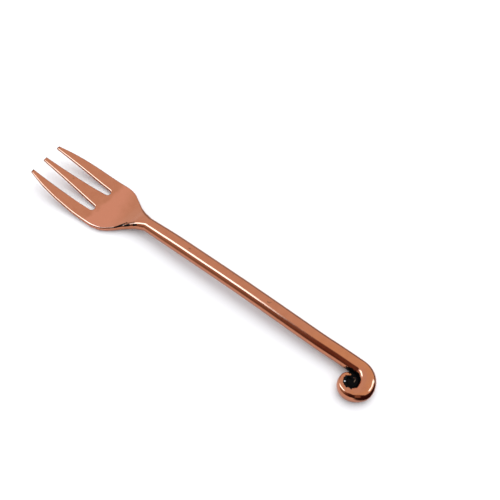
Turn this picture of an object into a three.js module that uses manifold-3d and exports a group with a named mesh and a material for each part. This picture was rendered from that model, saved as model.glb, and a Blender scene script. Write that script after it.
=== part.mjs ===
// Three-tine cocktail fork with a round rod handle whose tapered end is rolled into a flat scroll.
// Millimetres. +X runs from the tines to the scroll and +Z is up. The fork lies on its back: the belly of
// the head and the underside of the scroll rest on z = 0, and the origin is under the middle of its box.
import * as THREE from 'three';
import { mergeVertices } from 'three/addons/utils/BufferGeometryUtils.js';
import Module from 'manifold-3d';

// Driving dimensions
const ROD_RADIUS = 2.8;
const CURL_RADIUS = 2.85;
const NECK_RADIUS = 2.6;
const HEAD_HALF_WIDTH = 10.75;
const TABLE_Z = 0;

// Places along the fork, measured from the tip of the middle tine
const HEAD_END_X = 50;
const WELD_LENGTH = 1.6;
const CURL_START_X = 141.5;

// The head is set a little to the right of the rod's line and turned off it, by a bend at the shoulders
const HEAD_YAW = THREE.MathUtils.degToRad(2.1);
const HEAD_SHIFT = 0.75;
const BEND_END_X = 48;
const BEND_LENGTH = 11;

// Slots between the tines
const MIDDLE_TIP_HALF_WIDTH = 0.9;
const OUTER_TIP_WIDTH = 1.45;
const TIP_HALF_WIDTH = 7.75;
const RIGHT_TINE_SETBACK = 0.35;
const SLOT_ROOT_X = 27.8;
const SLOT_ROOT_Y = 4.35;
const SLOT_ROOT_RADIUS = 1.1;
const SLOT_BOW = 0.4;
const CUTTER_REACH = 2;
const CUTTER_TOP_Z = 12;

// Scroll: each arc of the rod's centre line turns right as it travels away from the head
const SCROLL_ARCS = [
  { radius: 5.55, degrees: 90 },
  { radius: 3.97, degrees: 90 },
  { radius: 3.58, degrees: 90 },
  { radius: 1.25, degrees: 90 },
  { radius: 1.35, degrees: 100 },
];

// Lacquer in the scroll's eye
const EYE_CENTRE = { x: 141.6, y: -5.2 };
const EYE_RADIUS = 3.4;
const FILL_GAP = 0.2;
const FILL_BOTTOM_Z = 2.2;
const FILL_TOP_Z = 4;

// Fineness of the facets
const LOOP_POINTS = 24;
const HEAD_STEP = 1.25;
const ROD_STEP = 6;
const SCROLL_STEP_DEGREES = 10;
const CURVE_SEGMENTS = 10;

// Head stations from the tips to the neck: half width, height of the middle surface, half thickness,
// how far the rims rise above the centre, and how flat the section is (1 is sheet, 0 is round)
const HEAD_STATIONS = [
  { x: 0, halfWidth: TIP_HALF_WIDTH, midZ: 6.1, halfHeight: 0.6, dish: 0, sheet: 1 },
  { x: 8, halfWidth: 9.5, midZ: 4.4, halfHeight: 0.68, dish: 0, sheet: 1 },
  { x: 16, halfWidth: 10.4, midZ: 2.8, halfHeight: 0.74, dish: 0, sheet: 1 },
  { x: 24, halfWidth: HEAD_HALF_WIDTH, midZ: 1.38, halfHeight: 0.78, dish: 0.05, sheet: 1 },
  { x: 31, halfWidth: 10.8, midZ: 0.8, halfHeight: 0.86, dish: 0.3, sheet: 1 },
  { x: 35, halfWidth: 10.1, midZ: 0.77, halfHeight: 0.88, dish: 0.55, sheet: 0.95 },
  { x: 39, halfWidth: 7.8, midZ: 1.12, halfHeight: 1.06, dish: 0.8, sheet: 0.8 },
  { x: 43, halfWidth: 5.1, midZ: 2.1, halfHeight: 1.6, dish: 0.7, sheet: 0.4 },
  { x: 46.5, halfWidth: 3.5, midZ: 3.2, halfHeight: 2.25, dish: 0.2, sheet: 0.12 },
  { x: HEAD_END_X, halfWidth: NECK_RADIUS, midZ: 4.1, halfHeight: NECK_RADIUS, dish: 0, sheet: 0 },
];

// Rod along its gentle arch: height of its axis above the table, and its radius, slimmer at the neck
const ROD_STATIONS = [
  { x: HEAD_END_X, midZ: 4.1, radius: NECK_RADIUS },
  { x: 64, midZ: 4.65, radius: ROD_RADIUS },
  { x: 88, midZ: 4.85, radius: ROD_RADIUS },
  { x: 120, midZ: 4, radius: CURL_RADIUS },
  { x: CURL_START_X, midZ: 2.8, radius: CURL_RADIUS },
];

// The rod sways a little to the left before it curls to the right
const SWAY_STATIONS = [
  { x: 120, y: 0 },
  { x: 126, y: 0.06 },
  { x: 134, y: 0.42 },
  { x: CURL_START_X, y: 0.6 },
];

// Rod section along the scroll by degrees turned: drawn down in plan, flattened on top and underneath
const SCROLL_STATIONS = [
  { x: 0, halfWidth: CURL_RADIUS, halfHeight: 2.8, sheet: 0 },
  { x: 90, halfWidth: CURL_RADIUS, halfHeight: 2.65, sheet: 0.05 },
  { x: 140, halfWidth: 2.2, halfHeight: 2.55, sheet: 0.06 },
  { x: 180, halfWidth: 2, halfHeight: 2.5, sheet: 0.06 },
  { x: 230, halfWidth: 1.85, halfHeight: 2.4, sheet: 0.06 },
  { x: 270, halfWidth: 1.45, halfHeight: 2.35, sheet: 0.06 },
  { x: 360, halfWidth: 1.15, halfHeight: 2.15, sheet: 0.06 },
  { x: 400, halfWidth: 0.95, halfHeight: 2, sheet: 0.05 },
  { x: 460, halfWidth: 0.55, halfHeight: 1.5, sheet: 0.05 },
];
const SCROLL_PRESS = 0.1;

// Section shapes: powers of the superellipse of a round rod and of flat sheet, and how far the points of a
// sheet's section crowd towards its edges
const ROUND_POWER = 2;
const SHEET_POWER = 8;
const SHEET_CROWDING = 0.5;

// Share of the dish of the head's top face that its underside follows
const UNDERSIDE_DISH = 0.25;

const wasm = await Module();
wasm.setup();

const MATERIALS = {
  copper: new THREE.MeshStandardMaterial({ color: 0xc07a56, roughness: 0.28, metalness: 1 }),
  weld: new THREE.MeshStandardMaterial({ color: 0xb87350, roughness: 0.34, metalness: 1 }),
  lacquer: new THREE.MeshStandardMaterial({ color: 0x0d0b0a, roughness: 0.22, metalness: 0 }),
};

// Smooth curve through one value of the stations, with no overshoot between them
function follow(stations, key) {
  const xs = stations.map((station) => station.x);
  const ys = stations.map((station) => station[key]);
  const slopes = xs.map((_, i) => stationSlope(xs, ys, i));
  return (x) => {
    const place = THREE.MathUtils.clamp(x, xs[0], xs.at(-1));
    const i = Math.min(xs.findLastIndex((start) => start <= place), xs.length - 2);
    const span = xs[i + 1] - xs[i];
    const t = (place - xs[i]) / span;
    const ease = t * t * (3 - 2 * t);
    const bend = t * (1 - t) * span * (slopes[i] * (1 - t) - slopes[i + 1] * t);
    return ys[i] + (ys[i + 1] - ys[i]) * ease + bend;
  };
}

const headCurves = {
  midZ: follow(HEAD_STATIONS, 'midZ'),
  halfWidth: follow(HEAD_STATIONS, 'halfWidth'),
  halfHeight: follow(HEAD_STATIONS, 'halfHeight'),
  dish: follow(HEAD_STATIONS, 'dish'),
  sheet: follow(HEAD_STATIONS, 'sheet'),
};
const scrollCurves = {
  halfWidth: follow(SCROLL_STATIONS, 'halfWidth'),
  halfHeight: follow(SCROLL_STATIONS, 'halfHeight'),
  sheet: follow(SCROLL_STATIONS, 'sheet'),
};
const rodCurves = {
  y: follow(SWAY_STATIONS, 'y'),
  midZ: follow(ROD_STATIONS, 'midZ'),
  radius: follow(ROD_STATIONS, 'radius'),
};

function stationSlope(xs, ys, i) {
  if (i === 0 || i === xs.length - 1) {
    const j = i === 0 ? 0 : i - 1;
    return (ys[j + 1] - ys[j]) / (xs[j + 1] - xs[j]);
  }
  const before = (ys[i] - ys[i - 1]) / (xs[i] - xs[i - 1]);
  const after = (ys[i + 1] - ys[i]) / (xs[i + 1] - xs[i]);
  return before * after <= 0 ? 0 : (2 * before * after) / (before + after);
}

// Closed loop of points across the metal: a superellipse that eases from a rod's circle to a sheet's
// blunt-edged slab, standing upright across the given heading
function sectionLoop({ x, y, heading = 0, midZ, halfWidth, halfHeight, dish = 0, sheet = 0, press = 0 }) {
  const power = ROUND_POWER + (SHEET_POWER - ROUND_POWER) * sheet;
  const spread = 1 - SHEET_CROWDING * sheet;
  const loop = [];
  for (let i = 0; i < LOOP_POINTS; i += 1) {
    const angle = (2 * Math.PI * i) / LOOP_POINTS;
    const across = Math.sign(Math.cos(angle)) * Math.abs(Math.cos(angle)) ** spread;
    const tall = (1 - Math.min(1, Math.abs(across)) ** power) ** (1 / power);
    const rise = Math.sign(Math.sin(angle)) * Math.min(halfHeight, (halfHeight + press) * tall);
    const side = across * halfWidth;
    const dishShare = (1 + UNDERSIDE_DISH + (1 - UNDERSIDE_DISH) * Math.sign(rise)) / 2;
    const z = Math.max(TABLE_Z, midZ + dish * dishShare * across * across + rise);
    loop.push([x - side * Math.sin(heading), y + side * Math.cos(heading), z]);
  }
  return loop;
}

// Closed solid through a row of loops, with a fan over each end
function loft(loops) {
  const count = LOOP_POINTS;
  const positions = loops.flat(2);
  const indices = [];
  for (let row = 0; row < loops.length - 1; row += 1) {
    for (let i = 0; i < count; i += 1) {
      const a = row * count + i;
      const b = row * count + ((i + 1) % count);
      indices.push(a, b, a + count, b, b + count, a + count);
    }
  }
  const last = (loops.length - 1) * count;
  for (let i = 1; i < count - 1; i += 1) {
    indices.push(0, i + 1, i);
    indices.push(last, last + i, last + i + 1);
  }
  const geometry = new THREE.BufferGeometry();
  geometry.setAttribute('position', new THREE.Float32BufferAttribute(positions, 3));
  geometry.setIndex(indices);
  return geometry;
}

function toSolid(geometry) {
  const vertProperties = new Float32Array(geometry.attributes.position.array);
  const triVerts = new Uint32Array(geometry.index.array);
  return new wasm.Manifold(new wasm.Mesh({ numProp: 3, vertProperties, triVerts }));
}

function toGeometry(solid) {
  const mesh = solid.getMesh();
  const geometry = new THREE.BufferGeometry();
  geometry.setAttribute('position', new THREE.BufferAttribute(new Float32Array(mesh.vertProperties), 3));
  geometry.setIndex(new THREE.BufferAttribute(new Uint32Array(mesh.triVerts), 1));
  return geometry;
}

// Prism over a plan outline, closed and with shared corners
function prism(shape, bottomZ, topZ) {
  const extruded = new THREE.ExtrudeGeometry(shape, {
    depth: topZ - bottomZ,
    bevelEnabled: false,
    curveSegments: CURVE_SEGMENTS,
  });
  extruded.deleteAttribute('normal');
  extruded.deleteAttribute('uv');
  extruded.translate(0, 0, bottomZ);
  return toSolid(mergeVertices(extruded));
}

function steps(start, end, step) {
  const count = Math.round((end - start) / step);
  return Array.from({ length: count + 1 }, (_, i) => start + ((end - start) * i) / count);
}

// Sections of the head, square to the fork's length
function headLoop(x) {
  const section = { x, y: 0 };
  for (const [key, curve] of Object.entries(headCurves)) {
    section[key] = curve(x);
  }
  return sectionLoop(section);
}

// Plan outline of one gap between tines: open at the tips, rounded at the root, its sides bowed slightly
function slotShape() {
  const rootX = SLOT_ROOT_X - SLOT_ROOT_RADIUS;
  const innerRootY = SLOT_ROOT_Y - SLOT_ROOT_RADIUS;
  const outerRootY = SLOT_ROOT_Y + SLOT_ROOT_RADIUS;
  const outerTipY = TIP_HALF_WIDTH - OUTER_TIP_WIDTH;
  const shape = new THREE.Shape();
  shape.moveTo(-CUTTER_REACH, MIDDLE_TIP_HALF_WIDTH);
  shape.lineTo(0, MIDDLE_TIP_HALF_WIDTH);
  shape.quadraticCurveTo(rootX / 2, (MIDDLE_TIP_HALF_WIDTH + innerRootY) / 2 - SLOT_BOW, rootX, innerRootY);
  shape.absarc(rootX, SLOT_ROOT_Y, SLOT_ROOT_RADIUS, -Math.PI / 2, Math.PI / 2, false);
  shape.quadraticCurveTo(rootX / 2, (outerTipY + outerRootY) / 2 + SLOT_BOW, 0, outerTipY);
  shape.lineTo(-CUTTER_REACH, outerTipY);
  return shape;
}

function forkHead() {
  const blank = toSolid(loft(steps(0, HEAD_END_X, HEAD_STEP).map(headLoop)));
  const slot = prism(slotShape(), -CUTTER_REACH, CUTTER_TOP_Z);
  return toGeometry(blank.subtract(slot).subtract(slot.mirror([0, 1, 0])));
}

// Round section of the straight rod, square to the fork's length
function rodLoop(x, margin = 0) {
  const radius = rodCurves.radius(x) + margin;
  const centre = { x, y: rodCurves.y(x), midZ: rodCurves.midZ(x) };
  return sectionLoop({ ...centre, halfWidth: radius, halfHeight: radius });
}

function neckWeld() {
  return loft([HEAD_END_X, HEAD_END_X + WELD_LENGTH].map((x) => rodLoop(x)));
}

// Centre line of the scroll: plan position and heading at every step of its arcs
function scrollPath() {
  const path = [];
  let turned = 0;
  let end = { x: CURL_START_X, y: rodCurves.y(CURL_START_X) };
  for (const { radius, degrees } of SCROLL_ARCS) {
    const facing = THREE.MathUtils.degToRad(turned);
    const centre = { x: end.x - radius * Math.sin(facing), y: end.y - radius * Math.cos(facing) };
    for (const angle of steps(turned, turned + degrees, SCROLL_STEP_DEGREES).slice(1)) {
      const bearing = THREE.MathUtils.degToRad(angle);
      end = { x: centre.x + radius * Math.sin(bearing), y: centre.y + radius * Math.cos(bearing) };
      path.push({ ...end, turned: angle, heading: -bearing });
    }
    turned += degrees;
  }
  return path;
}

// Section of the scroll; like the rod's, it grows by a margin where a clearance is wanted
function scrollLoop({ x, y, turned, heading }, margin = 0) {
  const halfHeight = scrollCurves.halfHeight(turned);
  return sectionLoop({
    x,
    y,
    heading,
    midZ: halfHeight,
    halfWidth: scrollCurves.halfWidth(turned) + margin,
    halfHeight: halfHeight + margin,
    sheet: scrollCurves.sheet(turned),
    press: SCROLL_PRESS * Math.min(1, turned / SCROLL_ARCS[0].degrees),
  });
}

function handleLoops(margin = 0) {
  const straight = steps(HEAD_END_X + WELD_LENGTH, CURL_START_X, ROD_STEP);
  return [
    ...straight.map((x) => rodLoop(x, margin)),
    ...scrollPath().map((place) => scrollLoop(place, margin)),
  ];
}

// Lacquer in the eye: a disc over the eye, less everything within the gap of the rod and of each half turn
// of its scroll. The pool between the coils is the largest of what is left.
function scrollFill() {
  const shape = new THREE.Shape();
  shape.absarc(EYE_CENTRE.x, EYE_CENTRE.y, EYE_RADIUS, 0, 2 * Math.PI, false);
  const loops = handleLoops(FILL_GAP);
  const halfTurn = 180 / SCROLL_STEP_DEGREES;
  let rest = prism(shape, FILL_BOTTOM_Z, FILL_TOP_Z);
  for (let end = loops.length; end > 1; end -= halfTurn) {
    const start = Math.max(0, end - halfTurn - 1);
    rest = rest.subtract(toSolid(loft(loops.slice(start, end))));
  }
  return toGeometry(rest.decompose().reduce((most, pool) => (pool.volume() > most.volume() ? pool : most)));
}

// Sets the head off the rod's line: each section square to the fork's length turns about its own centre,
// and the right-hand tine is a little shorter than the others
function setHead(geometry) {
  const points = geometry.attributes.position;
  for (let i = 0; i < points.count; i += 1) {
    const x = points.getX(i);
    const y = points.getY(i);
    const share = THREE.MathUtils.clamp((BEND_END_X - x) / BEND_LENGTH, 0, 1);
    const beyond = Math.max(0, BEND_END_X - BEND_LENGTH - x);
    const yaw = HEAD_YAW * share;
    const shift = HEAD_SHIFT * THREE.MathUtils.smoothstep(share, 0, 1);
    const centreY = -shift - HEAD_YAW * ((share * share * BEND_LENGTH) / 2 + beyond);
    const towardsTip = Math.max(0, 1 - x / SLOT_ROOT_X);
    const setback = (RIGHT_TINE_SETBACK * towardsTip * Math.max(0, -y)) / TIP_HALF_WIDTH;
    points.setXY(i, x + setback - y * Math.sin(yaw), centreY + y * Math.cos(yaw));
  }
}

function piece(name, geometry, material) {
  setHead(geometry);
  const mesh = new THREE.Mesh(geometry, material);
  mesh.name = name;
  return mesh;
}

const fork = new THREE.Group();
fork.add(piece('fork_head', forkHead(), MATERIALS.copper));
fork.add(piece('neck_weld', neckWeld(), MATERIALS.weld));
fork.add(piece('handle_rod', loft(handleLoops()), MATERIALS.copper));
fork.add(piece('scroll_fill', scrollFill(), MATERIALS.lacquer));

const middle = new THREE.Box3().setFromObject(fork).getCenter(new THREE.Vector3());
for (const mesh of fork.children) {
  mesh.position.set(-middle.x, -middle.y, 0);
}

export default fork;
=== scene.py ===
import math

import bmesh
import bpy
from mathutils import Matrix, Vector, kdtree, noise
from mathutils.geometry import delaunay_2d_cdt


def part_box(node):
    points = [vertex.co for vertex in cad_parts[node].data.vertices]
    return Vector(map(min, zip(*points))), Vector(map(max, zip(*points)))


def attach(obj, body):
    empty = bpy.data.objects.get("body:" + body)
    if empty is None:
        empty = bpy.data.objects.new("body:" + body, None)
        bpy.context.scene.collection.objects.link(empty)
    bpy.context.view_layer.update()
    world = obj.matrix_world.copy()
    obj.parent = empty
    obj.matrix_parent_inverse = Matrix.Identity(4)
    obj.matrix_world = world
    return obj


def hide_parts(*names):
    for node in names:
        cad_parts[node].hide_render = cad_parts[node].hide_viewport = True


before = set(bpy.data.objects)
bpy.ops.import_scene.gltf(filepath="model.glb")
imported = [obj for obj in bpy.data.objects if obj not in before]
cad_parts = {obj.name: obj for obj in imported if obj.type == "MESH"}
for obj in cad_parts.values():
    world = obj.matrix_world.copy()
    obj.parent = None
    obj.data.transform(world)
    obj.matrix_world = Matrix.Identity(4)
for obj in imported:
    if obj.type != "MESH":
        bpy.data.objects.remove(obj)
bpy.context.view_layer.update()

MM = 0.001
BODY = "root"

# ---------------------------------------------------------------- driving dimensions, as in the CAD part
ROD_RADIUS = 2.8
CURL_RADIUS = 2.85
NECK_RADIUS = 2.6
HEAD_END_X = 50
WELD_LENGTH = 1.6
CURL_START_X = 141.5

HEAD_YAW = math.radians(2.1)
HEAD_SHIFT = 0.75
BEND_END_X = 48
BEND_LENGTH = 11
RIGHT_TINE_SETBACK = 0.35

TIP_HALF_WIDTH = 7.75
MIDDLE_TIP_HALF_WIDTH = 0.9
OUTER_TIP_WIDTH = 1.45
SLOT_ROOT_Y = 4.35
SLOT_ROOT_RADIUS = 1.1
SLOT_ROOT_X = 27.8
SLOT_BOW = 0.4

# Head from the tips to the neck: x, half width, height of the middle surface, half thickness, rise of the
# rims above the centre, and how far the bevel of the edge reaches inwards and downwards
HEAD_STATIONS = [
    (0, TIP_HALF_WIDTH, 6.1, 0.6, 0, 0.3, 0.4),
    (8, 9.5, 4.4, 0.68, 0, 0.42, 0.54),
    (16, 10.4, 2.8, 0.74, 0, 0.44, 0.56),
    (24, 10.75, 1.38, 0.78, 0.05, 0.45, 0.56),
    (31, 10.8, 0.8, 0.86, 0.3, 0.45, 0.54),
    (35, 10.1, 0.77, 0.88, 0.5, 0.5, 0.56),
    (39, 7.8, 1.12, 1.06, 0.45, 0.72, 0.72),
    (43, 5.1, 2.1, 1.6, 0.15, 1.3, 1.2),
    (46.5, 3.5, 3.2, 2.25, 0, 2.3, 2),
    (HEAD_END_X, NECK_RADIUS, 4.1, NECK_RADIUS, 0, NECK_RADIUS, NECK_RADIUS),
]
UNDERSIDE_DISH = 0.25

# Rod along its arch: x, height of its axis, radius
ROD_STATIONS = [
    (HEAD_END_X, 4.1, NECK_RADIUS),
    (64, 4.65, ROD_RADIUS),
    (88, 4.85, ROD_RADIUS),
    (120, 4, CURL_RADIUS),
    (CURL_START_X, 2.8, CURL_RADIUS),
]

# Rod's sway to the left before it curls to the right: x, y
SWAY_STATIONS = [(120, 0), (126, 0.06), (134, 0.42), (CURL_START_X, 0.6)]

# Scroll: radius and degrees of each arc of its centre line, turning right
SCROLL_ARCS = [(5.55, 90), (3.97, 90), (3.58, 90), (1.25, 90), (1.35, 100)]

# Rod section along the scroll: degrees turned, half width, half height, flatness
SCROLL_STATIONS = [
    (0, CURL_RADIUS, 2.8, 0),
    (90, CURL_RADIUS, 2.65, 0.05),
    (140, 2.2, 2.55, 0.06),
    (180, 2, 2.5, 0.06),
    (230, 1.85, 2.4, 0.06),
    (270, 1.45, 2.35, 0.06),
    (360, 1.15, 2.15, 0.06),
    (400, 0.95, 2, 0.05),
    (460, 0.55, 1.5, 0.05),
]
SCROLL_PRESS = 0.1
WIDEST_CURL = Vector((CURL_START_X + SCROLL_ARCS[0][0] + CURL_RADIUS, SWAY_STATIONS[-1][1] + CURL_RADIUS, 0))

# The handle's highest corner in the fork's own plan gives the place of that plan in the frame
handle_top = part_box("handle_rod")[1]
PLAN_ORIGIN = Vector((handle_top.x, handle_top.y, 0)) - WIDEST_CURL * MM

# ---------------------------------------------------------------- finish of the visible meshes
MERGE_DISTANCE = 1e-4
SHARP_ANGLE = math.radians(50)

# The head is a slotted sheet up to the seam, and a loft of sections behind it that is round from the neck on.
# Its rims rise with a power of the share across
SEAM_X = 31
ROUND_NECK_X = 46
LIP_POWER = 3.5

# Bevel of the sheet's edge: shares of its width where rings of vertices lie, share of its width that the
# outer of its two facets takes, and share of its fall that belongs to the outer facet alone
RING_SHARES = (0, 0.06, 0.4, 0.46, 0.52, 0.9, 0.97, 1)
EDGE_RINGS = len(RING_SHARES) - 1
FACET_SHARE = 0.46
FACET_DROP = 0.42

COLUMNS = 36
OUTLINE_STEP = 0.4
ROOT_ARC_STEPS = 16
CORNER_STEPS = 7
GRID_STEP = 0.7
GRID_CLEARANCE = GRID_STEP / 3
TIP_CORNER_RADIUS = 0.15
TIP_TRIM = 0.5
TIP_SIDE_X = 2
LOFT_STEP = 0.5
FACES_IN_LOOP = 1
TRIANGLE_TOLERANCE = 1e-7

LOOP_POINTS = 80
ROD_STEP = 1
SCROLL_STEP = 3
TIP_CAP_ROWS = 6
TIP_CAP_SHARE = 0.96
SLAB_POWER = 6
SLAB_SPREAD = 0.5


def follow(stations, column):
    """Smooth curve through one column of the stations, with no overshoot between them."""
    xs = [station[0] for station in stations]
    ys = [station[column] for station in stations]
    last = len(xs) - 1

    def secant(i):
        return (ys[i + 1] - ys[i]) / (xs[i + 1] - xs[i])

    def slope(i):
        if i in (0, last):
            return secant(min(i, last - 1))
        before, after = secant(i - 1), secant(i)
        return 0 if before * after <= 0 else 2 * before * after / (before + after)

    slopes = [slope(i) for i in range(last + 1)]

    def curve(x):
        place = min(max(x, xs[0]), xs[-1])
        i = max(k for k in range(last) if xs[k] <= place)
        span = xs[i + 1] - xs[i]
        t = (place - xs[i]) / span
        ease = t * t * (3 - 2 * t)
        bend = t * (1 - t) * span * (slopes[i] * (1 - t) - slopes[i + 1] * t)
        return ys[i] + (ys[i + 1] - ys[i]) * ease + bend

    return curve


head_half_width = follow(HEAD_STATIONS, 1)
head_mid_z = follow(HEAD_STATIONS, 2)
head_half_height = follow(HEAD_STATIONS, 3)
head_dish = follow(HEAD_STATIONS, 4)
edge_width = follow(HEAD_STATIONS, 5)
edge_height = follow(HEAD_STATIONS, 6)
rod_y = follow(SWAY_STATIONS, 1)
rod_mid_z = follow(ROD_STATIONS, 1)
rod_radius = follow(ROD_STATIONS, 2)
scroll_half_width = follow(SCROLL_STATIONS, 1)
scroll_half_height = follow(SCROLL_STATIONS, 2)
scroll_flatness = follow(SCROLL_STATIONS, 3)


def steps(start, end, step):
    """Evenly spaced values from start to end, about a step apart."""
    count = max(1, round(abs(end - start) / step))
    return [start + (end - start) * i / count for i in range(count + 1)]


def smooth(value, low, high):
    """Eases from 0 at low to 1 at high."""
    t = min(1, max(0, (value - low) / (high - low)))
    return t * t * (3 - 2 * t)


def set_head(x, y):
    """Sets the head off the rod's line at the shoulders, with the right-hand tine a little shorter."""
    share = min(max(BEND_END_X - x, 0) / BEND_LENGTH, 1)
    beyond = max(0, BEND_END_X - BEND_LENGTH - x)
    yaw = HEAD_YAW * share
    centre_y = -HEAD_SHIFT * smooth(share, 0, 1) - HEAD_YAW * (share * share * BEND_LENGTH / 2 + beyond)
    towards_tip = max(0, 1 - x / SLOT_ROOT_X)
    setback = RIGHT_TINE_SETBACK * towards_tip * max(0, -y) / TIP_HALF_WIDTH
    return x + setback - y * math.sin(yaw), centre_y + y * math.cos(yaw)


def to_frame(x, y, z):
    """Place in the frame, in metres, of a point given in millimetres in the plan."""
    return PLAN_ORIGIN + Vector((*set_head(x, y), z)) * MM


def finish_piece(name, mesh_builder, material, node):
    """Makes one visible piece of a bmesh, smooth shaded, and stands it in for its CAD node."""
    bmesh.ops.remove_doubles(mesh_builder, verts=mesh_builder.verts, dist=MERGE_DISTANCE * MM)
    bmesh.ops.recalc_face_normals(mesh_builder, faces=mesh_builder.faces)
    mesh = bpy.data.meshes.new(name)
    mesh_builder.to_mesh(mesh)
    mesh_builder.free()
    mesh.shade_smooth()
    mesh.set_sharp_from_angle(angle=SHARP_ANGLE)
    mesh.materials.append(material)
    piece = bpy.data.objects.new(name, mesh)
    bpy.context.scene.collection.objects.link(piece)
    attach(piece, BODY)
    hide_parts(node)


# ---------------------------------------------------------------- head
def neck_roundness(x):
    """How far the section has eased from the sheet's bevelled edge to the round of the neck."""
    return smooth(x, SEAM_X, ROUND_NECK_X)


def head_skin_z(x, y, inset, up):
    """Height of the head's skin, a distance in from its edge, on top (up = 1) or underneath (up = -1)."""
    across = abs(y) / head_half_width(x)
    dish = head_dish(x) * (1 if up > 0 else UNDERSIDE_DISH) * across ** LIP_POWER
    share = min(1, max(0, inset) / edge_width(x))
    facets = FACET_DROP * max(0, 1 - share / FACET_SHARE) + (1 - FACET_DROP) * (1 - share)
    arc = 1 - math.sqrt(1 - (1 - share) ** 2)
    drop = edge_height(x) * (facets + (arc - facets) * neck_roundness(x))
    return max(0, head_mid_z(x) + dish + up * (head_half_height(x) - drop))


def slot_side_y(x, tip_y, root_y, bow):
    """One side of a slot, from its end at the tips to its root, bowed sideways in between."""
    t = x / (SLOT_ROOT_X - SLOT_ROOT_RADIUS)
    return tip_y + (root_y - tip_y) * t + 2 * t * (1 - t) * bow


def outer_slot_y(x):
    return slot_side_y(x, TIP_HALF_WIDTH - OUTER_TIP_WIDTH, SLOT_ROOT_Y + SLOT_ROOT_RADIUS, SLOT_BOW)


def inner_slot_y(x):
    return slot_side_y(x, MIDDLE_TIP_HALF_WIDTH, SLOT_ROOT_Y - SLOT_ROOT_RADIUS, -SLOT_BOW)


def rounded_corner(before, corner, after):
    """Points on the arc that rounds a corner of the outline."""
    inwards, onwards = (before - corner).normalized(), (after - corner).normalized()
    half = inwards.angle(onwards) / 2
    centre = corner + (inwards + onwards).normalized() * TIP_CORNER_RADIUS / math.sin(half)
    reach = TIP_CORNER_RADIUS / math.tan(half)
    start, end = corner + inwards * reach - centre, corner + onwards * reach - centre
    turn = start.angle_signed(end)
    arc = []
    for i in range(CORNER_STEPS + 1):
        angle = -turn * i / CORNER_STEPS
        cos, sin = math.cos(angle), math.sin(angle)
        arc.append(centre + Vector((start.x * cos - start.y * sin, start.x * sin + start.y * cos)))
    return arc


def tine_outline():
    """Outline of the tines, from the seam at the left round the three tips to the seam at the right."""
    root_x = SLOT_ROOT_X - SLOT_ROOT_RADIUS
    outer_tip, inner_tip = Vector((0, TIP_HALF_WIDTH)), Vector((0, TIP_HALF_WIDTH - OUTER_TIP_WIDTH))
    middle_tip = Vector((0, MIDDLE_TIP_HALF_WIDTH))
    half = [Vector((x, head_half_width(x))) for x in steps(SEAM_X, TIP_TRIM, OUTLINE_STEP)]
    half += rounded_corner(Vector((TIP_SIDE_X, head_half_width(TIP_SIDE_X))), outer_tip, inner_tip)
    half += rounded_corner(outer_tip, inner_tip, Vector((TIP_SIDE_X, outer_slot_y(TIP_SIDE_X))))
    half += [Vector((x, outer_slot_y(x))) for x in steps(TIP_TRIM, root_x, OUTLINE_STEP)]
    for i in range(1, ROOT_ARC_STEPS):
        angle = math.pi / 2 - math.pi * i / ROOT_ARC_STEPS
        half.append(Vector((root_x + SLOT_ROOT_RADIUS * math.cos(angle),
                            SLOT_ROOT_Y + SLOT_ROOT_RADIUS * math.sin(angle))))
    half += [Vector((x, inner_slot_y(x))) for x in steps(root_x, TIP_TRIM, OUTLINE_STEP)]
    half += rounded_corner(Vector((TIP_SIDE_X, inner_slot_y(TIP_SIDE_X))), middle_tip, -middle_tip)
    other = [Vector((point.x, -point.y)) for point in reversed(half)]
    return half + [Vector((0, 0))] + other


def edge_insets(x):
    """Distances in from the edge at which the rings of its bevel lie."""
    roundness = neck_roundness(x)
    arc_shares = [1 - math.cos(math.pi / 2 * k / EDGE_RINGS) for k in range(EDGE_RINGS + 1)]
    return [edge_width(x) * (a + (b - a) * roundness) for a, b in zip(RING_SHARES, arc_shares)]


def section_ys(x):
    """Places across the head at one x: rings at both edges and even columns between, easing to a circle's."""
    half = head_half_width(x)
    insets = edge_insets(x)
    flat = half - insets[-1]
    left = [half - inset for inset in insets]
    across = left + [flat * (1 - 2 * j / COLUMNS) for j in range(1, COLUMNS)] + [-y for y in reversed(left)]
    last = len(across) - 1
    roundness = neck_roundness(x)
    return [
        y * (1 - roundness) + half * math.cos(math.pi * i / last) * roundness
        for i, y in enumerate(across)
    ]


def is_inside(point, outline):
    """Whether a point of the plan lies inside a closed outline, by the crossings of a line through it."""
    inside = False
    for a, b in zip(outline, outline[1:] + outline[:1]):
        if (a.y > point.y) != (b.y > point.y):
            inside ^= point.x < (b.x - a.x) * (point.y - a.y) / (b.y - a.y) + a.x
    return inside


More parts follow.
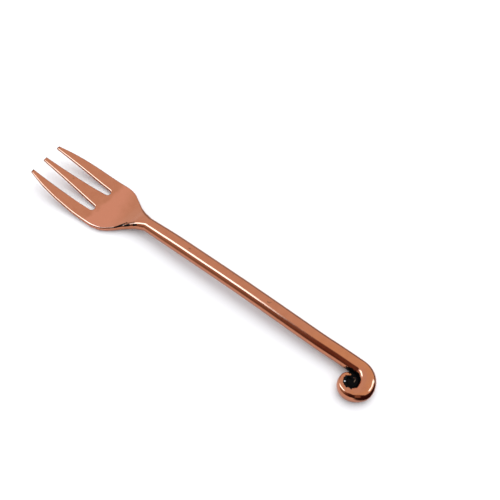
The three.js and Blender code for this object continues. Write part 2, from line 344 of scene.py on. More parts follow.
def add_tines(builder):
    """Top, underside and side wall of the slotted part of the head, up to the seam."""
    outline = tine_outline()
    count = len(outline)
    inwards = []
    for i in range(count):
        along = (outline[min(i + 1, count - 1)] - outline[max(i - 1, 0)]).normalized()
        inwards.append(Vector((-along.y, along.x)))
    inwards[0], inwards[-1] = Vector((0, -1)), Vector((0, 1))

    places, insets, rings = [], [], []
    for k in range(EDGE_RINGS + 1):
        rings.append(range(len(places), len(places) + count))
        for point, inward in zip(outline, inwards):
            inset = edge_insets(point.x)[k]
            places.append(point + inward * inset)
            insets.append(inset)
    ridge = section_ys(SEAM_X)[EDGE_RINGS + 1:-EDGE_RINGS - 1]
    columns = range(len(places), len(places) + len(ridge))
    places += [Vector((SEAM_X, y)) for y in reversed(ridge)]
    insets += [edge_width(SEAM_X)] * len(ridge)

    nearest = kdtree.KDTree(count)
    for i, point in enumerate(outline):
        nearest.insert(point.to_3d(), i)
    nearest.balance()
    rows = steps(GRID_STEP / 2, SEAM_X - GRID_STEP / 2, GRID_STEP)
    widest = max(point.y for point in outline)
    for row, x in enumerate(rows):
        for y in steps(-widest, widest, GRID_STEP):
            point = Vector((x, y + (row % 2) * GRID_STEP / 2))
            clear = nearest.find(point.to_3d())[2] > edge_width(x) + GRID_CLEARANCE
            if clear and is_inside(point, outline):
                places.append(point)
                insets.append(edge_width(x))

    seam = [ring[-1] for ring in rings[1:]] + list(columns) + [ring[0] for ring in rings[:0:-1]]
    loop = list(rings[0]) + seam
    creases = [pair for ring in rings[1:] for pair in zip(ring, ring[1:])]
    found, _, triangles, origins, _, _ = delaunay_2d_cdt(
        places, creases, [loop], FACES_IN_LOOP, TRIANGLE_TOLERANCE)
    inset_of = [insets[origin[0]] if origin else 0 for origin in origins]
    skins = []
    for up in (1, -1):
        skins.append([
            builder.verts.new(to_frame(p.x, p.y, head_skin_z(p.x, p.y, inset, up)))
            for p, inset in zip(found, inset_of)
        ])
    for triangle in triangles:
        builder.faces.new([skins[0][i] for i in triangle])
        builder.faces.new([skins[1][i] for i in reversed(triangle)])
    for a, b in zip(rings[0], rings[0][1:]):
        builder.faces.new([skins[0][b], skins[0][a], skins[1][a], skins[1][b]])


def add_bowl_and_neck(builder):
    """The head behind the seam: rows of closed sections up to the round neck, capped at the weld."""
    rows = []
    for x in steps(SEAM_X, HEAD_END_X, LOFT_STEP):
        half = head_half_width(x)
        ys = section_ys(x)
        top = [to_frame(x, y, head_skin_z(x, y, half - abs(y), 1)) for y in ys]
        underside = [to_frame(x, y, head_skin_z(x, y, half - abs(y), -1)) for y in reversed(ys)]
        rows.append([builder.verts.new(point) for point in top + underside])
    join_rows(builder, rows)
    builder.faces.new(rows[-1])


def join_rows(builder, rows):
    """Faces between closed rows of vertices that follow one another."""
    for row, after in zip(rows, rows[1:]):
        for i in range(len(row)):
            j = (i + 1) % len(row)
            builder.faces.new([row[i], row[j], after[j], after[i]])


def build_head(material):
    builder = bmesh.new()
    add_tines(builder)
    add_bowl_and_neck(builder)
    finish_piece("head", builder, material, "fork_head")


# ---------------------------------------------------------------- handle and scroll
def section_loop(x, y, heading, mid_z, half_width, half_height, flatness=0, press=0):
    """Closed loop across the metal: a circle that eases towards a slab as its flatness grows."""
    power = 2 + SLAB_POWER * flatness
    spread = 1 - SLAB_SPREAD * flatness
    loop = []
    for i in range(LOOP_POINTS):
        angle = 2 * math.pi * i / LOOP_POINTS
        across = math.copysign(abs(math.cos(angle)) ** spread, math.cos(angle))
        tall = (1 - min(1, abs(across)) ** power) ** (1 / power)
        rise = math.copysign(min(half_height, (half_height + press) * tall), math.sin(angle))
        side = across * half_width
        loop.append((x - side * math.sin(heading), y + side * math.cos(heading), max(0, mid_z + rise)))
    return loop


def scroll_path():
    """Centre line of the scroll: degrees turned, x, y and heading."""
    path = []
    turned = 0
    end_x, end_y = CURL_START_X, rod_y(CURL_START_X)
    for radius, degrees in SCROLL_ARCS:
        facing = math.radians(turned)
        centre_x, centre_y = end_x - radius * math.sin(facing), end_y - radius * math.cos(facing)
        for angle in steps(turned, turned + degrees, SCROLL_STEP)[1:]:
            bearing = math.radians(angle)
            end_x, end_y = centre_x + radius * math.sin(bearing), centre_y + radius * math.cos(bearing)
            path.append((angle, end_x, end_y, -bearing))
        turned += degrees
    return path


def handle_loops():
    """Sections of the handle from the weld along the rod, round the scroll and over its rounded end."""
    loops = []
    for x in steps(HEAD_END_X + WELD_LENGTH, CURL_START_X, ROD_STEP):
        loops.append(section_loop(x, rod_y(x), 0, rod_mid_z(x), rod_radius(x), rod_radius(x)))
    path = scroll_path()
    for turned, x, y, heading in path:
        half_height = scroll_half_height(turned)
        press = SCROLL_PRESS * min(1, turned / 90)
        loops.append(section_loop(x, y, heading, half_height, scroll_half_width(turned), half_height,
                                  scroll_flatness(turned), press))
    turned, x, y, heading = path[-1]
    half_width, half_height = scroll_half_width(turned), scroll_half_height(turned)
    for i in range(1, TIP_CAP_ROWS + 1):
        angle = math.pi / 2 * i / TIP_CAP_ROWS * TIP_CAP_SHARE
        ahead = half_width * math.sin(angle)
        loops.append(section_loop(x + ahead * math.cos(heading), y + ahead * math.sin(heading), heading,
                                  half_height, half_width * math.cos(angle), half_height * math.cos(angle)))
    return loops


# Lacquer on the metal: a disc over the eye of the scroll, and a channel between the rod and the coil
EYE_CENTRE = Vector((142.3, -6.1))
EYE_RADIUS = 2.55
CHANNEL = [Vector(place) for place in ((138.2, -3.2), (140.5, -2.9), (142.4, -2.6), (143.6, -3.6), (144, -5))]
CHANNEL_RADIUS = 1.15
CHANNEL_TOP_Z = 4.4


def segment_distance(point, a, b):
    t = min(1, max(0, (point - a).dot(b - a) / (b - a).length_squared))
    return (point - a - (b - a) * t).length


def lacquer_depth(x, y, z):
    """How far a point lies inside the lacquered part of the scroll; below zero outside it."""
    point = Vector((x, y))
    eye = EYE_RADIUS - (point - EYE_CENTRE).length
    channel = CHANNEL_RADIUS - min(segment_distance(point, a, b) for a, b in zip(CHANNEL, CHANNEL[1:]))
    return max(eye, min(channel, CHANNEL_TOP_Z - z))


# Small dents from handling: x, y, z, reach and depth
DENTS = [
    (70.4, -0.5, 7.2, 0.7, 0.06),
    (104.8, -0.2, 7.2, 0.7, 0.06),
    (118.6, -0.6, 7, 0.9, 0.06),
    (86.2, 0.4, 7.6, 0.7, 0.05),
    (145.2, -8.9, 5, 0.8, 0.08),
    (143.4, -9.6, 5, 0.6, 0.05),
    (147.9, -3.8, 5.3, 1, 0.06),
    (142.4, 1.4, 5.2, 1.1, 0.06),
]
WAVE_HEIGHT = 0.02
WAVE_SPACING = 7


def surface_wear(x, y, z):
    """How far the skin of the handle sinks at a place: dents, and the faint waves of a hand-finished rod."""
    sink = WAVE_HEIGHT * noise.noise(Vector((x, y, z)) / WAVE_SPACING)
    for dent_x, dent_y, dent_z, reach, depth in DENTS:
        distance = math.dist((x, y, z), (dent_x, dent_y, dent_z))
        sink += depth * (1 - smooth(distance, 0, reach))
    return sink


def build_handle(material):
    builder = bmesh.new()
    lacquer = builder.verts.layers.float.new("lacquer")
    rows = []
    for loop in handle_loops():
        middle = [sum(point[axis] for point in loop) / len(loop) for axis in range(3)]
        row = []
        for x, y, z in loop:
            outwards = Vector((x - middle[0], y - middle[1], z - middle[2])).normalized()
            worn = Vector((x, y, z)) - outwards * surface_wear(x, y, z)
            vertex = builder.verts.new(to_frame(worn.x, worn.y, max(0, worn.z)))
            vertex[lacquer] = lacquer_depth(x, y, z)
            row.append(vertex)
        rows.append(row)
    join_rows(builder, rows)
    builder.faces.new(rows[0])
    builder.faces.new(rows[-1])
    finish_piece("handle", builder, material, "handle_rod")


# ---------------------------------------------------------------- weld and lacquer
WELD_ROWS = 12
WELD_CROWN = 0.005


def build_weld(material):
    """Ring of weld metal ground nearly flush, with a faint crown."""
    builder = bmesh.new()
    rows = []
    for i in range(WELD_ROWS + 1):
        x = HEAD_END_X + WELD_LENGTH * i / WELD_ROWS
        radius = rod_radius(x) + WELD_CROWN * math.sin(math.pi * i / WELD_ROWS)
        loop = section_loop(x, 0, 0, rod_mid_z(x), radius, radius)
        rows.append([builder.verts.new(to_frame(*point)) for point in loop])
    join_rows(builder, rows)
    builder.faces.new(rows[0])
    builder.faces.new(rows[-1])
    finish_piece("neck_weld_ring", builder, material, "neck_weld")


POOL_CENTRE = Vector((141.6, -5.2))
POOL_RADIUS = 3.2
POOL_TOP_Z = 3.7
POOL_BOTTOM_Z = 2.2
POOL_RINGS = 20
POOL_SPOKES = 64
POOL_RIPPLE = 0.22
POOL_RIPPLE_RATE = 0.9
POOL_RAGGEDNESS = 0.2
POOL_RAGGED_RATE = 2
POOL_RAGGED_PLACE = 5
POOL_SAG = 0.4
POOL_SAG_POWER = 6


def build_lacquer(material):
    """Pool of lacquer between the coils, lumpy on top, with a ragged edge."""
    builder = bmesh.new()
    rows = []
    for up in (1, -1):
        for i in range(1, POOL_RINGS + 1):
            share = i / POOL_RINGS if up > 0 else 1 - (i - 1) / POOL_RINGS
            row = []
            for j in range(POOL_SPOKES):
                angle = 2 * math.pi * j / POOL_SPOKES
                out = Vector((math.cos(angle), math.sin(angle)))
                place = Vector((*(out * POOL_RAGGED_RATE), POOL_RAGGED_PLACE))
                ragged = POOL_RAGGEDNESS * noise.noise(place)
                point = POOL_CENTRE + out * share * (POOL_RADIUS + ragged)
                z = POOL_BOTTOM_Z
                if up > 0:
                    ripple = POOL_RIPPLE * noise.noise(Vector((point.x, point.y, 0)) * POOL_RIPPLE_RATE)
                    sag = (POOL_TOP_Z - POOL_BOTTOM_Z) * POOL_SAG * share ** POOL_SAG_POWER
                    z = POOL_TOP_Z + ripple - sag
                row.append(builder.verts.new(to_frame(point.x, point.y, z)))
            rows.append(row)
    join_rows(builder, rows)
    builder.faces.new(rows[0])
    builder.faces.new(rows[-1])
    finish_piece("scroll_lacquer", builder, material, "scroll_fill")


# ---------------------------------------------------------------- shader nodes
STREAK_CORE = 0.7
MIX_COLOUR_INPUTS = (6, 7)
MIX_COLOUR_OUTPUT = 2


def add_node(tree, kind, inputs=None, **settings):
    """Adds a node; an input value is a plain value, or the socket of another node to link to it."""
    node = tree.nodes.new(kind)
    for key, value in settings.items():
        setattr(node, key, value)
    for key, value in (inputs or {}).items():
        if isinstance(value, bpy.types.NodeSocket):
            tree.links.new(value, node.inputs[key])
        else:
            node.inputs[key].default_value = value
    return node


def calc(tree, operation, *values):
    return add_node(tree, "ShaderNodeMath", dict(enumerate(values)), operation=operation).outputs[0]


def multiply(tree, first, *others):
    product = first
    for other in others:
        product = calc(tree, "MULTIPLY", product, other)
    return product


def vector_calc(tree, operation, inputs, result="Vector"):
    return add_node(tree, "ShaderNodeVectorMath", inputs, operation=operation).outputs[result]


def split(tree, vector):
    """Outputs X, Y and Z of a vector."""
    return add_node(tree, "ShaderNodeSeparateXYZ", {"Vector": vector}).outputs


def mix_shaders(tree, share, a, b):
    return add_node(tree, "ShaderNodeMixShader", {0: share, 1: a, 2: b}).outputs[0]


def ramp(tree, value, low, high, start=0.0, end=1.0):
    """Value eased from start at low to end at high."""
    inputs = {"Value": value, "From Min": low, "From Max": high, "To Min": start, "To Max": end}
    node = add_node(tree, "ShaderNodeMapRange", inputs, interpolation_type="SMOOTHSTEP")
    return node.outputs["Result"]


def mix_colour(tree, share, a, b):
    """Colour a where the share is 0, easing to colour b where it is 1."""
    node = add_node(tree, "ShaderNodeMix", {"Factor": share}, data_type="RGBA")
    for key, value in zip(MIX_COLOUR_INPUTS, (a, b)):
        if isinstance(value, bpy.types.NodeSocket):
            tree.links.new(value, node.inputs[key])
        else:
            node.inputs[key].default_value = (*value, 1)
    return node.outputs[MIX_COLOUR_OUTPUT]


def plan_position(tree, stretch=(1, 1, 1)):
    """Position in the fork's own plan in millimetres, squeezed along each axis by a factor."""
    place = add_node(tree, "ShaderNodeTexCoord").outputs["Object"]
    scale = Vector(stretch) / MM
    inputs = {"Vector": place, "Scale": scale, "Location": -PLAN_ORIGIN * scale}
    return add_node(tree, "ShaderNodeMapping", inputs).outputs[0]


def streak(tree, place, start, end, width):
    """Share of a soft streak between two points, by x and y alone: 1 along its middle, 0 beyond its width."""
    span = Vector(end) - Vector(start)
    flat = vector_calc(tree, "MULTIPLY", {0: place, 1: (1, 1, 0)})
    offset = vector_calc(tree, "SUBTRACT", {0: flat, 1: (*start, 0)})
    along = vector_calc(tree, "DOT_PRODUCT", {0: offset, 1: (*span, 0)}, "Value")
    reach = calc(tree, "DIVIDE", along, span.length_squared)
    reach = calc(tree, "MAXIMUM", calc(tree, "MINIMUM", reach, 1.0), 0.0)
    nearest = vector_calc(tree, "SCALE", {0: (*span, 0), "Scale": reach})
    distance = vector_calc(tree, "DISTANCE", {0: offset, 1: nearest}, "Value")
    return ramp(tree, distance, width * STREAK_CORE, width, 1.0, 0.0)


def speckle(tree, position, scale, detail=2.0, roughness=0.5):
    """Noise about 0.5; a larger scale makes finer speckles."""
    inputs = {"Vector": position, "Scale": scale, "Detail": detail, "Roughness": roughness}
    return add_node(tree, "ShaderNodeTexNoise", inputs).outputs["Fac"]


def bump(tree, height, distance, normal=None):
    """Normal of a surface raised by a height of 0 to 1 times a distance in millimetres."""
    inputs = {"Height": height, "Distance": distance * MM, "Strength": 1.0}
    if normal is not None:
        inputs["Normal"] = normal
    return add_node(tree, "ShaderNodeBump", inputs).outputs["Normal"]


def new_material(name):
    material = bpy.data.materials.new(name)
    material.use_nodes = True
    material.node_tree.nodes.clear()
    return material, material.node_tree


def output(tree, shader):
    add_node(tree, "ShaderNodeOutputMaterial", {"Surface": shader})


# ---------------------------------------------------------------- materials
COPPER = (0.52, 0.2, 0.11)
DULL_COPPER = (0.495, 0.185, 0.1)
# Lighter copper for the painted sheen on the bowl
BOWL_SHEEN_COPPER = (0.61, 0.235, 0.142)

STAIN_SCALE = 0.35
STAIN_DETAIL = 3.0
STAIN_LIMITS = (0.35, 0.7)
SKIN_SCALE = 0.5
SKIN_HEIGHT = 0.01

# Fine lines of the polish: their noise, their height, and how they spread the roughness of a piece
LINE_SCALE = 3.0
LINE_DETAIL = 3.0
LINE_ROUGHNESS = 0.6
LINE_LIMITS = (0.3, 0.75)
LINE_HEIGHT = 0.0015
LINE_POLISH = (0.8, 1.3)

# Stretch of those lines along and across each piece, and its roughness
HEAD_GRAIN, HEAD_ROUGHNESS = (0.08, 1.6, 1.6), 0.1
WELD_GRAIN, WELD_ROUGHNESS = (0.06, 1.5, 1.5), 0.11
ROD_GRAIN, ROD_ROUGHNESS = (0.05, 1.5, 1.5), 0.12


def plated_metal(tree, grain, roughness, sheen_share=0.0):
    """Polished copper plate with lines along the grain, faint stains, a slightly uneven skin and, by the
    given share, a painted sheen in lighter copper.
    """
    speckles = speckle(tree, plan_position(tree), STAIN_SCALE, STAIN_DETAIL)
    stain = ramp(tree, speckles, *STAIN_LIMITS)
    lines = speckle(tree, plan_position(tree, grain), LINE_SCALE, LINE_DETAIL, LINE_ROUGHNESS)
    colour = mix_colour(tree, sheen_share, mix_colour(tree, stain, COPPER, DULL_COPPER), BOWL_SHEEN_COPPER)
    rough = ramp(tree, lines, *LINE_LIMITS, roughness * LINE_POLISH[0], roughness * LINE_POLISH[1])
    skin = bump(tree, speckle(tree, plan_position(tree), SKIN_SCALE), SKIN_HEIGHT)
    normal = bump(tree, lines, LINE_HEIGHT, skin)
    inputs = {"Base Color": colour, "Metallic": 1.0, "Roughness": rough, "Normal": normal}
    return add_node(tree, "ShaderNodeBsdfPrincipled", inputs).outputs[0]


LACQUER = (0.002, 0.002, 0.0025)
LACQUER_ROUGHNESS = 0.16
LACQUER_SHINE = 0.03
WRINKLE_SCALE = 1.6
WRINKLE_DETAIL = 3.0
WRINKLE_HEIGHT = 0.12

# Marks in the lacquer of the scroll's eye: the first a painted glint, the other two faint lighter lines along
# the inner coil; both ends in the plan, half width and colour
EYE_GLINT_AND_LINES = [
    ((140.65, -7.15), (140.75, -7.05), 0.24, (0.5, 0.56, 0.6)),
    ((142.9, -4.2), (143, -5), 0.15, (0.13, 0.09, 0.06)),
    ((141.9, -3.9), (142.6, -3.7), 0.14, (0.07, 0.03, 0.02)),
]


def lacquer_coat(tree):
    """Glossy black lacquer that dried with a slightly wrinkled skin, with a painted glint and two faint
    lighter lines in the eye of the scroll.
    """
    place = plan_position(tree)
    wrinkles = bump(tree, speckle(tree, place, WRINKLE_SCALE, WRINKLE_DETAIL), WRINKLE_HEIGHT)
    colour = LACQUER
    # painted glint and faint lines laid over the lacquer's colour
    for start, end, width, mark_colour in EYE_GLINT_AND_LINES:
        colour = mix_colour(tree, streak(tree, place, start, end, width), colour, mark_colour)
    inputs = {"Base Color": colour, "Roughness": LACQUER_ROUGHNESS, "Specular IOR Level": LACQUER_SHINE,
              "Normal": wrinkles}
    return add_node(tree, "ShaderNodeBsdfPrincipled", inputs).outputs[0]


# Painted shade in the creases of the near shoulder, drawn as black lacquer where they mirror the dark room, a
# weaker painted shade that dims the highlight beside them (the eighth), and small dark spots: both ends in
# the plan, half width and strength
CREASE_SHADE_AND_SPOTS = [
    ((36, -10.7), (38.5, -9.2), 0.16, 0.6),
    ((38.5, -9.2), (40.2, -7.7), 0.18, 0.85),
    ((40.2, -7.7), (41.4, -6.3), 0.26, 1),
    ((41.4, -6.3), (42.5, -4.8), 0.42, 1),
    ((42.5, -4.8), (43, -3.8), 0.26, 1),
    ((43.1, -5.3), (44.4, -4.2), 0.42, 1),
    ((45.9, -3.45), (46.9, -2.9), 0.3, 1),
    ((43.4, -4.2), (45.7, -2.8), 0.45, 0.5),
    ((33.9, -11), (34, -10.9), 0.2, 0.8),
    ((36, -10.7), (36.1, -10.6), 0.2, 0.7),
    ((13.4, -1.3), (13.6, -1.2), 0.3, 0.3),
]

# Specks of lacquer on the rod, given in the same way
ROD_SPECKS = [
    ((69.8, -0.3), (70.3, -0.2), 0.28, 0.35),
    ((104.4, -0.4), (105.2, -0.3), 0.26, 0.4),
    ((105.2, -0.3), (105.5, 0.2), 0.2, 0.3),
    ((88.5, 0.9), (88.7, 0.9), 0.2, 0.25),
]


def lacquer_or_shade_share(tree, place, marks):
    """Share of black lacquer at a place of the plan, from a list of marks; for the shoulder's creases this is
    painted shade.
    """
    share = 0.0
    for start, end, width, strength in marks:
        mark = multiply(tree, streak(tree, place, start, end, width), strength)
        share = calc(tree, "MAXIMUM", share, mark)
    return share


# Painted sheen on the bowl, where it mirrors a brighter part of the room: x limits of its front and back
# borders, how the back one slants with y, and how far both wander
SHEEN_FRONT = (28, 30)
SHEEN_BACK = (34, 41)
SHEEN_SLANT = 0.35
SHEEN_WANDER = 5.0
SHEEN_WANDER_SCALE = 0.25

# Upward share of the surface's normal above which the painted crease shade shows, so that it stays off the
# walls
CREASE_UPRIGHT = (0.15, 0.35)

# Edge of the lacquer in the scroll: how ragged it is, and over what depth it fades, in millimetres
RAGGED_SCALE = 1.3
RAGGED_DETAIL = 4.0
RAGGED_REACH = 1.6
RAGGED_FADE = (-0.04, 0.08)


def uneven(tree, place, reach, scale, detail=2.0):
    """Noise about zero at a place of the plan, in millimetres."""
    return multiply(tree, calc(tree, "SUBTRACT", speckle(tree, place, scale, detail), 0.5), reach)


def head_material():
    """Copper plate with a painted sheen on the bowl behind the slots, and painted shade, drawn as black
    lacquer, in the creases of the shoulder.
    """
    material, tree = new_material("head_plate")
    place = plan_position(tree)
    axes = split(tree, place)
    x, y = axes["X"], axes["Y"]
    # painted sheen: lighter copper over the bowl, between a wandering front border and a slanted back one
    wander = uneven(tree, place, SHEEN_WANDER, SHEEN_WANDER_SCALE)
    ahead = ramp(tree, calc(tree, "ADD", x, wander), *SHEEN_FRONT)
    slanted = calc(tree, "ADD", x, multiply(tree, y, SHEEN_SLANT))
    behind = ramp(tree, calc(tree, "ADD", slanted, wander), *SHEEN_BACK, 1.0, 0.0)
    metal = plated_metal(tree, HEAD_GRAIN, HEAD_ROUGHNESS, multiply(tree, ahead, behind))
    upright = split(tree, add_node(tree, "ShaderNodeNewGeometry").outputs["Normal"])["Z"]
    # painted shade: black lacquer laid in the shoulder's creases, on upward-facing skin only
    crease_shade = multiply(tree, lacquer_or_shade_share(tree, place, CREASE_SHADE_AND_SPOTS), ramp(tree, upright, *CREASE_UPRIGHT))
    output(tree, mix_shaders(tree, crease_shade, metal, lacquer_coat(tree)))
    return material


def weld_material():
    material, tree = new_material("weld_plate")
    output(tree, plated_metal(tree, WELD_GRAIN, WELD_ROUGHNESS))
    return material


def handle_material():
    """Copper plate with black lacquer left in the eye of the scroll, its edge ragged."""
    material, tree = new_material("rod_plate")
    depth = add_node(tree, "ShaderNodeAttribute", attribute_name="lacquer").outputs["Fac"]
    ragged = uneven(tree, plan_position(tree), RAGGED_REACH, RAGGED_SCALE, RAGGED_DETAIL)
    share = ramp(tree, calc(tree, "ADD", depth, ragged), *RAGGED_FADE)
    share = calc(tree, "MAXIMUM", share, lacquer_or_shade_share(tree, plan_position(tree), ROD_SPECKS))
    metal = plated_metal(tree, ROD_GRAIN, ROD_ROUGHNESS)
    output(tree, mix_shaders(tree, share, metal, lacquer_coat(tree)))
    return material


def lacquer_material():
    material, tree = new_material("black_lacquer")
    output(tree, lacquer_coat(tree))
    return material


# ---------------------------------------------------------------- studio
# The floor's half size is in metres, and how far it lies below the fork in millimetres. Its reach is how far
# from the metal, in millimetres, its reflection starts to dim and is dim
FLOOR_HALF_SIZE = 4
FLOOR_DROP = 0.02
FLOOR_COLOUR = (0.86, 0.86, 0.86)
FLOOR_REACH = (9, 28)
FLOOR_IN_METAL = (0.8, 0.8, 0.8)

SUN_STRENGTH = 1.25
SUN_TILT = math.radians(30)
SUN_SOFTNESS = math.radians(60)
SKY_FILL = 1.08
SKY_TINT = (0.98, 0.99, 1.03)
HORIZON_GLOOM = 0.7

CAMERA_AIM = Vector((83.56, 16.54, 0))
CAMERA_DISTANCE = 307.3
CAMERA_AZIMUTH = math.radians(37.9)
CAMERA_ELEVATION = math.radians(54.91)
CAMERA_ROLL = math.radians(0.67)
CAMERA_LENS = 61.8
CAMERA_CLIP_START = 0.01

# What the metal mirrors is laid out by the direction a reflection points in: x is its share along the fork
# towards the scroll, y towards the far side and z upwards. Each pair is where a border starts and ends.
TIP_END_X = (-0.85, -0.65)
FAR_LIGHT_START_X = (-0.5, -0.18)

# Floor: dim beyond its reach, except towards the far side, where it is bright but for a dim foot at the
# horizon, and dark towards the scroll's end
FLOOR_FAR_Y = (-0.05, 0.05)
FLOOR_LIGHT_END_X = (0.2, 0.5)
FLOOR_FOOT_Z = (-0.55, -0.35)
FLOOR_FOOT_SHARE = 0.85
FLOOR_DARK_X = (0.35, 0.6)

# Unlit near side: colour towards the tips, across the fork and towards the scroll
GLOOM_AT_TIPS = (0.57, 0.49, 0.42)
GLOOM_ACROSS = (0.2, 0.09, 0.066)
GLOOM_AT_SCROLL = (0.06, 0.02, 0.02)
GLOOM_ACROSS_X = (-0.5, -0.12)
GLOOM_SCROLL_X = (-0.12, 0.15)


def add_sheet(name, corners, material):
    """A flat sheet of the studio with four corners in the frame."""
    builder = bmesh.new()
    builder.faces.new([builder.verts.new(corner) for corner in corners])
    mesh = bpy.data.meshes.new(name)
    builder.to_mesh(mesh)
    builder.free()
    mesh.materials.append(material)
    sheet = bpy.data.objects.new(name, mesh)
    bpy.context.scene.collection.objects.link(sheet)
    return sheet


def corners_of(xs, ys):
    """Corners of a rectangle, one after another round it."""
    return [(xs[0], ys[0]), (xs[1], ys[0]), (xs[1], ys[1]), (xs[0], ys[1])]


def gloom(tree, x):
    """Colour of the studio's unlit near side in the metal, by how far a reflection points along the fork."""
    towards_rod = mix_colour(tree, ramp(tree, x, *GLOOM_ACROSS_X), GLOOM_AT_TIPS, GLOOM_ACROSS)
    return mix_colour(tree, ramp(tree, x, *GLOOM_SCROLL_X), towards_rod, GLOOM_AT_SCROLL)


def build_floor():
    """Pale paper. In the metal it dims a little way from the fork, as the unlit room does."""
    material, tree = new_material("floor_paper")
    rays = add_node(tree, "ShaderNodeLightPath").outputs
    shade = mix_colour(tree, rays["Is Glossy Ray"], FLOOR_COLOUR, FLOOR_IN_METAL)
    paper = add_node(tree, "ShaderNodeBsdfDiffuse", {"Color": shade}).outputs[0]
    incoming = add_node(tree, "ShaderNodeNewGeometry").outputs["Incoming"]
    axes = split(tree, vector_calc(tree, "SCALE", {0: incoming, "Scale": -1.0}))
    x, y, z = axes["X"], axes["Y"], axes["Z"]
    far_side = ramp(tree, y, *FLOOR_FAR_Y)
    far_light = multiply(tree, far_side, ramp(tree, x, *FAR_LIGHT_START_X),
                         ramp(tree, x, *FLOOR_LIGHT_END_X, 1.0, 0.0))
    far_light = calc(tree, "MAXIMUM", far_light, ramp(tree, x, *TIP_END_X, 1.0, 0.0))
    distance = ramp(tree, rays["Ray Length"], FLOOR_REACH[0] * MM, FLOOR_REACH[1] * MM)
    beyond = multiply(tree, distance, calc(tree, "SUBTRACT", 1.0, far_light))
    far_foot = multiply(tree, far_side, ramp(tree, z, *FLOOR_FOOT_Z, 0.0, FLOOR_FOOT_SHARE),
                        ramp(tree, x, *TIP_END_X))
    beyond = calc(tree, "MAXIMUM", calc(tree, "MAXIMUM", beyond, far_foot), ramp(tree, x, *FLOOR_DARK_X))
    dimmed = multiply(tree, rays["Is Glossy Ray"], beyond)
    shaded = {"Color": gloom(tree, x), "Strength": HORIZON_GLOOM}
    dark = add_node(tree, "ShaderNodeEmission", shaded).outputs[0]
    output(tree, mix_shaders(tree, dimmed, paper, dark))
    extent = (-FLOOR_HALF_SIZE, FLOOR_HALF_SIZE)
    corners = [(*corner, -FLOOR_DROP * MM) for corner in corners_of(extent, extent)]
    add_sheet("floor", corners, material)


# Room in the metal. "Around" is a reflection's angle in degrees about the fork, from the near horizon over
# the top to the far one. The bright tent begins at an angle that shifts by some degrees along the fork.
TENT_AROUND = (40, 47)
MIDDLE_LIFT_X, MIDDLE_LIFT = (-0.38, -0.08), 16.0
SCROLL_LIFT_X, SCROLL_LIFT = (0.0, 0.3), 5.0
TIP_FALL_X, TIP_FALL = (-0.9, -0.7), 40.0

# Dim far side: a band above the horizon towards the tips, and a foot at the horizon
FAR_GLOOM_AROUND = (162, 172)
FAR_FOOT_AROUND = (172, 179)
FAR_FOOT_X = (-0.2, -0.1)
FAR_FOOT_SHARES = (0.9, 0.2)

# Dim end beyond the scroll: x limits, and the height below which it is dim, lower towards the far side
SIDE_GLOOM_X = (0.42, 0.58)
SIDE_GLOOM_HEIGHT = (0.32, 0.47)
SIDE_GLOOM_LEAN = 0.5

# Strength that the near side's colour rises to above the horizon
NEAR_LIFT_AROUND = (0, 25)
NEAR_LIFT = 1.15

# Colour of the bright tent
CANVAS_AT_TIPS = (1.0, 1.0, 1.0)
CANVAS = (1.05, 1.02, 0.86)
CANVAS_X = (-0.22, -0.1)

# Soft patches of the room seen in the metal, by the x and y of their direction: both ends, half width and
# colour. The first is a lamp beyond the scroll, the second a dim panel on the near side beyond the scroll.
ROOM_PATCHES = [
    ((0.52, 0.74), (0.7, 0.36), 0.11, (3.0, 5.6, 8.0)),
    ((0.5, -0.5), (0.7, -0.7), 0.2, (0.36, 0.24, 0.19)),
]


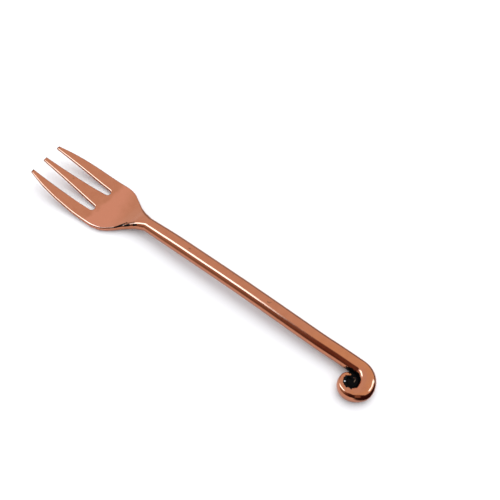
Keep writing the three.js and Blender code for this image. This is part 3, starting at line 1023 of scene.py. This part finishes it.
def build_sky():
    """White room. In the metal it shows as a bright tent with a dark near side and a strip light above it."""
    world = bpy.data.worlds.new("studio")
    bpy.context.scene.world = world
    world.use_nodes = True
    tree = world.node_tree
    tree.nodes.clear()
    direction = add_node(tree, "ShaderNodeTexCoord").outputs["Generated"]
    axes = split(tree, direction)
    x, y, z = axes["X"], axes["Y"], axes["Z"]
    around = calc(tree, "DEGREES", calc(tree, "ARCTAN2", z, multiply(tree, y, -1.0)))

    far_band = multiply(tree, ramp(tree, around, *FAR_GLOOM_AROUND),
                        ramp(tree, x, *FAR_LIGHT_START_X, 1.0, 0.0))
    far_foot = multiply(tree, ramp(tree, around, *FAR_FOOT_AROUND),
                        ramp(tree, x, *FAR_FOOT_X, *FAR_FOOT_SHARES))
    far_gloom = multiply(tree, calc(tree, "MAXIMUM", far_band, far_foot), ramp(tree, x, *TIP_END_X))
    side_height = calc(tree, "ADD", z, multiply(tree, calc(tree, "MAXIMUM", y, 0.0), SIDE_GLOOM_LEAN))
    side_gloom = multiply(tree, ramp(tree, x, *SIDE_GLOOM_X),
                          ramp(tree, side_height, *SIDE_GLOOM_HEIGHT, 1.0, 0.0))

    lift = calc(tree, "ADD", ramp(tree, x, *MIDDLE_LIFT_X, 0.0, MIDDLE_LIFT),
                ramp(tree, x, *SCROLL_LIFT_X, 0.0, SCROLL_LIFT))
    lift = calc(tree, "SUBTRACT", lift, ramp(tree, x, *TIP_FALL_X, TIP_FALL, 0.0))
    tent = multiply(tree, ramp(tree, calc(tree, "SUBTRACT", around, lift), *TENT_AROUND),
                    calc(tree, "SUBTRACT", 1.0, far_gloom), calc(tree, "SUBTRACT", 1.0, side_gloom))

    near_share = ramp(tree, around, *NEAR_LIFT_AROUND, HORIZON_GLOOM, NEAR_LIFT)
    near_gloom = vector_calc(tree, "SCALE", {0: gloom(tree, x), "Scale": near_share})
    canvas = mix_colour(tree, ramp(tree, x, *CANVAS_X), CANVAS_AT_TIPS, CANVAS)
    room = mix_colour(tree, tent, near_gloom, canvas)
    for start, end, width, colour in ROOM_PATCHES:
        room = mix_colour(tree, streak(tree, direction, start, end, width), room, colour)

    reflected = add_node(tree, "ShaderNodeBackground", {"Color": room, "Strength": 1.0}).outputs[0]
    fill = add_node(tree, "ShaderNodeBackground", {"Color": (*SKY_TINT, 1), "Strength": SKY_FILL}).outputs[0]
    seen = add_node(tree, "ShaderNodeBackground", {"Color": (1, 1, 1, 1), "Strength": 1.0}).outputs[0]
    rays = add_node(tree, "ShaderNodeLightPath").outputs
    lit = mix_shaders(tree, rays["Is Glossy Ray"], fill, reflected)
    shown = mix_shaders(tree, rays["Is Camera Ray"], lit, seen)
    add_node(tree, "ShaderNodeOutputWorld", {"Surface": shown})


# Strip light over the near side of the fork, seen only in the metal: limits in the plan, how far each long
# side turns with x, height, and soft border at its ends and sides
STRIP_X = (-420, 62)
STRIP_Y = (-214, -98)
STRIP_SPLAY = (0.17, 0.03)
STRIP_HEIGHT = 200
STRIP_BORDER = (50, 18)
STRIP_COLOUR = (3.6, 6.8, 10.2)


def build_strip():
    """A sheet that glows and fades out at its borders."""
    material, tree = new_material("strip_light")
    axes = split(tree, plan_position(tree))
    from_end = calc(tree, "SUBTRACT", axes["X"], float(STRIP_X[1]))
    outer, inner = (
        calc(tree, "SUBTRACT", axes["Y"], multiply(tree, from_end, splay)) for splay in STRIP_SPLAY
    )
    length, (end_border, side_border) = STRIP_X[1] - STRIP_X[0], STRIP_BORDER
    glow = multiply(
        tree,
        ramp(tree, from_end, -length, -length + end_border),
        ramp(tree, from_end, -end_border, 0, 1.0, 0.0),
        ramp(tree, outer, STRIP_Y[0], STRIP_Y[0] + side_border),
        ramp(tree, inner, STRIP_Y[1] - side_border, STRIP_Y[1], 1.0, 0.0),
    )
    lamp = add_node(tree, "ShaderNodeEmission", {"Color": (*STRIP_COLOUR, 1)}).outputs[0]
    clear = add_node(tree, "ShaderNodeBsdfTransparent").outputs[0]
    output(tree, mix_shaders(tree, glow, clear, lamp))
    splay_at = dict(zip(STRIP_Y, STRIP_SPLAY))
    corners = [
        PLAN_ORIGIN + Vector((x, y + splay_at[y] * (x - STRIP_X[1]), STRIP_HEIGHT)) * MM
        for x, y in corners_of(STRIP_X, STRIP_Y)
    ]
    strip = add_sheet("strip_light", corners, material)
    strip.visible_camera = False
    strip.visible_diffuse = False
    strip.visible_shadow = False


def build_sun():
    """Large soft light overhead, leaning to the far side of the fork."""
    light = bpy.data.lights.new("softbox", "SUN")
    light.energy = SUN_STRENGTH
    light.angle = SUN_SOFTNESS
    lamp = bpy.data.objects.new("softbox", light)
    bpy.context.scene.collection.objects.link(lamp)
    lamp.rotation_euler = (-SUN_TILT, 0, 0)
    lamp.visible_glossy = False


def build_camera():
    """Camera at the photograph's viewing angle."""
    camera = bpy.data.objects.new("camera", bpy.data.cameras.new("camera"))
    bpy.context.scene.collection.objects.link(camera)
    level = Vector((math.sin(CAMERA_AZIMUTH), -math.cos(CAMERA_AZIMUTH), 0))
    away = level * math.cos(CAMERA_ELEVATION) + Vector((0, 0, math.sin(CAMERA_ELEVATION)))
    camera.location = PLAN_ORIGIN + (CAMERA_AIM + away * CAMERA_DISTANCE) * MM
    facing = away.to_track_quat("Z", "Y").to_matrix() @ Matrix.Rotation(CAMERA_ROLL, 3, "Z")
    camera.rotation_euler = facing.to_euler()
    camera.data.lens = CAMERA_LENS
    camera.data.clip_start = CAMERA_CLIP_START
    bpy.context.scene.camera = camera


build_head(head_material())
build_weld(weld_material())
build_handle(handle_material())
build_lacquer(lacquer_material())
build_floor()
build_sky()
build_strip()
build_sun()
build_camera()
bpy.context.scene.view_settings.view_transform = "Standard"
